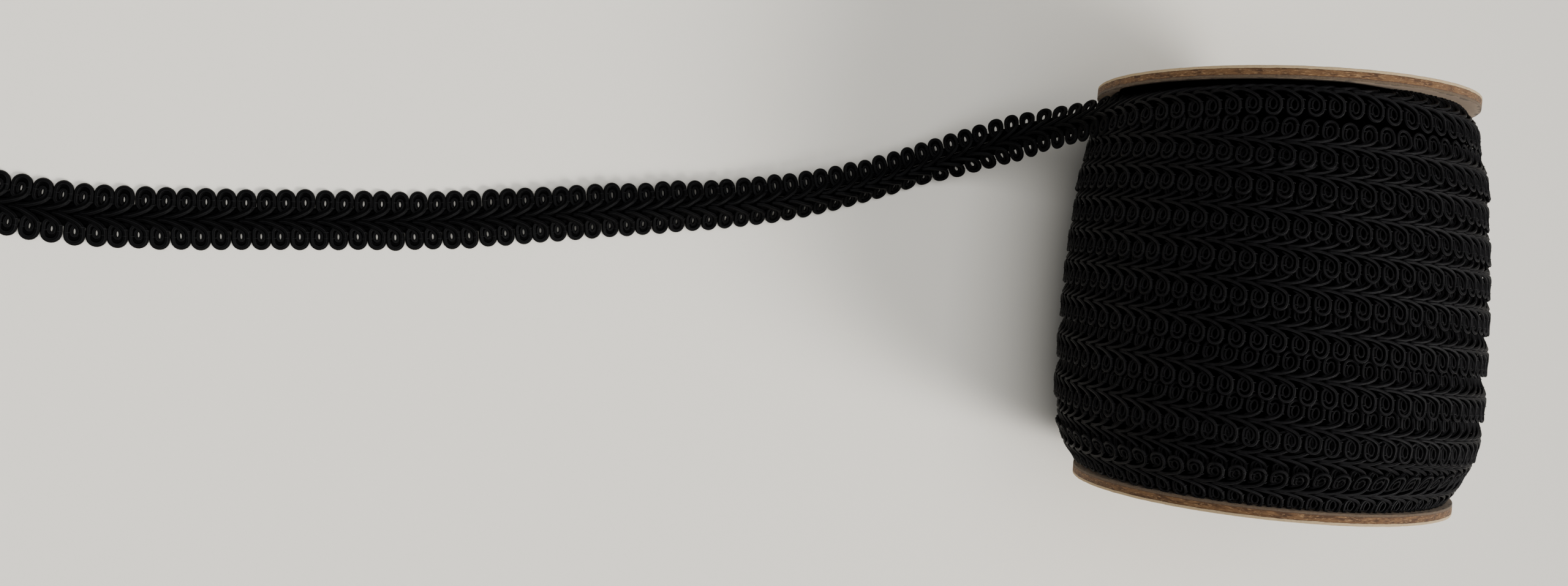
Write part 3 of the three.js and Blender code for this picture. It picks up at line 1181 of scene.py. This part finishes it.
@dataclass
class Flange:
    """One of the reel's two board discs.

    side is the sign of its place on the axis, and turn is how far it is out of square. Each
    grain of the rim's wear has a name, a size and a share of rim_wear.
    """

    name: str
    node: str
    side: float
    turn: float
    sides: int = 360
    rim_round: float = 0.16
    rim_segments: int = 3
    rim_rows: int = 7
    rim_wear: float = 0.10
    wear_level: float = 0.6
    grains: tuple[tuple[str, float, float], ...] = (("coarse", 1.6, 1.0), ("fine", 0.35, 0.7))
    face_rings: tuple[float, ...] = (1.2, 4.0, 10.0)
    smooth_angle: float = 50.0

    def build(self) -> bpy.types.Object:
        """Turns a cylinder into a layered board disc with a worn rim.

        Returns:
            The new object.
        """
        middle = self.side * (WINDING_LENGTH + FLANGE_THICKNESS) / 2
        bpy.ops.object.select_all(action="DESELECT")
        bpy.ops.mesh.primitive_cylinder_add(
            vertices=self.sides,
            radius=FLANGE_RADIUS * MM,
            depth=FLANGE_THICKNESS * MM,
            end_fill_type="NGON",
            location=(0, middle * MM, AXIS_HEIGHT * MM),
            rotation=(math.pi / 2, 0, 0),
        )
        disc = bpy.context.object
        disc.name = self.name
        disc.data.name = self.name
        bpy.ops.object.transform_apply(location=True, rotation=True, scale=True)
        bpy.ops.object.mode_set(mode="EDIT")
        self.round_rim(disc)
        self.split_layers(middle)
        self.ring_faces(disc)
        bpy.ops.object.mode_set(mode="OBJECT")
        self.wear_rim(disc)
        self.set_in_place(disc)
        bpy.ops.object.shade_smooth_by_angle(angle=math.radians(self.smooth_angle))
        disc.data.materials.clear()
        disc.data.materials.append(BoardFinish(f"{self.name}_board", self.side, self.turn).material())
        return disc

    def set_in_place(self, disc: bpy.types.Object) -> None:
        """Turns the disc out of square and moves it off the winding's middle.

        Args:
            disc: The disc, in object mode.
        """
        pivot = Matrix.Translation((0, self.side * WINDING_LENGTH / 2 * MM, 0))
        turned = pivot @ Matrix.Rotation(math.radians(self.turn), 4, "Z") @ pivot.inverted()
        disc.data.transform(Matrix.Translation((FLANGE_SHIFT * MM, 0, 0)) @ turned)

    def round_rim(self, disc: bpy.types.Object) -> None:
        """Rounds the two edges of the rim.

        Args:
            disc: The disc, in edit mode.
        """
        bpy.ops.mesh.select_mode(type="EDGE")
        bpy.ops.mesh.select_all(action="DESELECT")
        shape = bmesh.from_edit_mesh(disc.data)
        for edge in shape.edges:
            run = edge.verts[0].co - edge.verts[1].co
            edge.select = abs(run.y) < 1e-6
        bmesh.update_edit_mesh(disc.data)
        bpy.ops.mesh.bevel(offset=self.rim_round * MM, segments=self.rim_segments)

    def split_layers(self, middle: float) -> None:
        """Cuts rows round the rim, so that the fibres have points to move.

        Args:
            middle: The disc's middle along the axis.
        """
        half = FLANGE_THICKNESS / 2 - self.rim_round
        for row in range(self.rim_rows):
            place = middle - half + 2 * half * (row + 0.5) / self.rim_rows
            bpy.ops.mesh.select_all(action="SELECT")
            bpy.ops.mesh.bisect(plane_co=(0, place * MM, AXIS_HEIGHT * MM), plane_no=(0, 1, 0))

    def ring_faces(self, disc: bpy.types.Object) -> None:
        """Insets rings into both flat faces, so that the rim's wear stays in the outermost one.

        Args:
            disc: The disc, in edit mode.
        """
        bpy.ops.mesh.select_mode(type="FACE")
        for width in self.face_rings:
            bpy.ops.mesh.select_all(action="DESELECT")
            shape = bmesh.from_edit_mesh(disc.data)
            for face in shape.faces:
                face.select = abs(face.normal.y) > 0.99 and len(face.verts) == self.sides
            bmesh.update_edit_mesh(disc.data)
            bpy.ops.mesh.inset(thickness=width * MM, depth=0)

    def wear_rim(self, disc: bpy.types.Object) -> None:
        """Roughens the cut rim as torn fibre.

        Args:
            disc: The disc, in object mode.
        """
        rim = disc.vertex_groups.new(name="rim")
        inner = (FLANGE_RADIUS - 2 * self.rim_round) * MM
        found = [
            vertex.index
            for vertex in disc.data.vertices
            if math.hypot(vertex.co.x, vertex.co.z - AXIS_HEIGHT * MM) > inner
        ]
        rim.add(found, 1.0, "REPLACE")
        for name, grain, strength in self.grains:
            cloud = bpy.data.textures.new(f"{self.name}_{name}", "CLOUDS")
            cloud.noise_scale = grain * MM
            wear = disc.modifiers.new(name, "DISPLACE")
            wear.texture = cloud
            wear.texture_coords = "LOCAL"
            wear.vertex_group = "rim"
            wear.mid_level = self.wear_level
            wear.strength = self.rim_wear * strength * MM
            bpy.ops.object.modifier_apply(modifier=name)


def dress(piece: bpy.types.Object, node: str) -> None:
    """Joins a piece to the reel.

    Args:
        piece: The piece.
        node: The solid that the piece stands for.
    """
    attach(piece, "root")
    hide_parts(node)
    LOG.info("%s: %d faces, stands for %s", piece.name, len(piece.data.polygons), node)


@dataclass(frozen=True)
class Viewpoint:
    """Where the camera stands, what it looks at, and which way is up in its picture."""

    place: Point = (-170.0, 0.9, 260.2)
    aim: Point = (-91.0, -6.2, 0.0)
    up: Point = (-0.05, 1.0, -0.042)
    lens: float = 28.8
    sensor: float = 36.0
    nearest: float = 10.0

    def build(self) -> None:
        """Adds the camera."""
        place = Vector(self.place) * MM
        back = (place - Vector(self.aim) * MM).normalized()
        right = Vector(self.up).cross(back).normalized()
        up = back.cross(right)
        camera = bpy.data.cameras.new("camera")
        camera.lens = self.lens
        camera.sensor_width = self.sensor
        camera.sensor_fit = "HORIZONTAL"
        camera.clip_start = self.nearest * MM
        made = bpy.data.objects.new("camera", camera)
        made.matrix_world = Matrix.Translation(place) @ Matrix((right, up, back)).transposed().to_4x4()
        bpy.context.collection.objects.link(made)
        bpy.context.scene.camera = made


@dataclass(frozen=True)
class Lamp:
    """A soft rectangular lamp that faces a point on the table.

    The spread is the angle of its beam, and the power is in watts.
    """

    name: str
    place: Point
    aim: Point
    size: tuple[float, float]
    power: float
    colour: Colour
    spread: float = 180.0

    def build(self) -> None:
        """Adds the lamp."""
        light = bpy.data.lights.new(self.name, "AREA")
        light.shape = "RECTANGLE"
        light.size, light.size_y = (side * MM for side in self.size)
        light.energy = self.power
        light.color = self.colour
        light.spread = math.radians(self.spread)
        made = bpy.data.objects.new(self.name, light)
        place = Vector(self.place) * MM
        made.location = place
        facing = (Vector(self.aim) * MM - place).to_track_quat("-Z", "Y")
        made.rotation_euler = facing.to_euler()
        bpy.context.collection.objects.link(made)


@dataclass
class Studio:
    """A pale table in soft light."""

    table: Colour = (0.685, 0.65, 0.58)
    table_size: float = 6000.0
    grain_scale: float = 1500.0
    grain_shade: float = 0.985
    grain_relief: float = 0.1
    roughness: float = 0.7
    ambient: Colour = (0.94, 0.97, 1.0)
    ambient_strength: float = 0.31
    lamps: tuple[Lamp, ...] = (
        Lamp(
            "window",
            place=(1040.0, -840.0, 1240.0),
            aim=(-270.0, 0.0, 0.0),
            size=(980.0, 980.0),
            power=4.6,
            colour=(1.0, 0.985, 0.96),
            spread=34.0,
        ),
        Lamp(
            "ceiling",
            place=(-185.0, 25.0, 820.0),
            aim=(-185.0, 0.0, 0.0),
            size=(700.0, 640.0),
            power=6.8,
            colour=(0.98, 0.99, 1.0),
        ),
    )

    def build(self) -> None:
        """Adds the table, the lamps and the ambient light."""
        bpy.ops.object.select_all(action="DESELECT")
        bpy.ops.mesh.primitive_plane_add(size=self.table_size * MM, location=(0, 0, 0))
        floor = bpy.context.object
        floor.name = "table"
        nodes = Nodes("table_top")
        where = nodes.add("ShaderNodeTexCoord").outputs["Object"]
        grain = nodes.noise(where, self.grain_scale, 2.0)
        colour = nodes.mix(grain, tuple(c * self.grain_shade for c in self.table), self.table)
        normal = nodes.bump(grain, 0.15, self.grain_relief)
        nodes.shade(colour, self.roughness, normal, sheen=0.0, specular=0.25)
        floor.data.materials.append(nodes.material)
        for lamp in self.lamps:
            lamp.build()
        world = bpy.data.worlds.new("room")
        world.use_nodes = True
        sky = world.node_tree.nodes["Background"]
        sky.inputs["Color"].default_value = (*self.ambient, 1.0)
        sky.inputs["Strength"].default_value = self.ambient_strength
        bpy.context.scene.world = world


def main() -> None:
    """Builds the reel and its studio."""
    logging.basicConfig(level=logging.INFO, format="%(name)s: %(message)s")
    Viewpoint().build()
    Trim().build()
    for flange in (
        Flange("flange_upper", "flange_back", 1.0, -1.4),
        Flange("flange_lower", "flange_front", -1.0, 0.0),
    ):
        dress(flange.build(), flange.node)
    Studio().build()


if __name__ == "__main__":
    main()
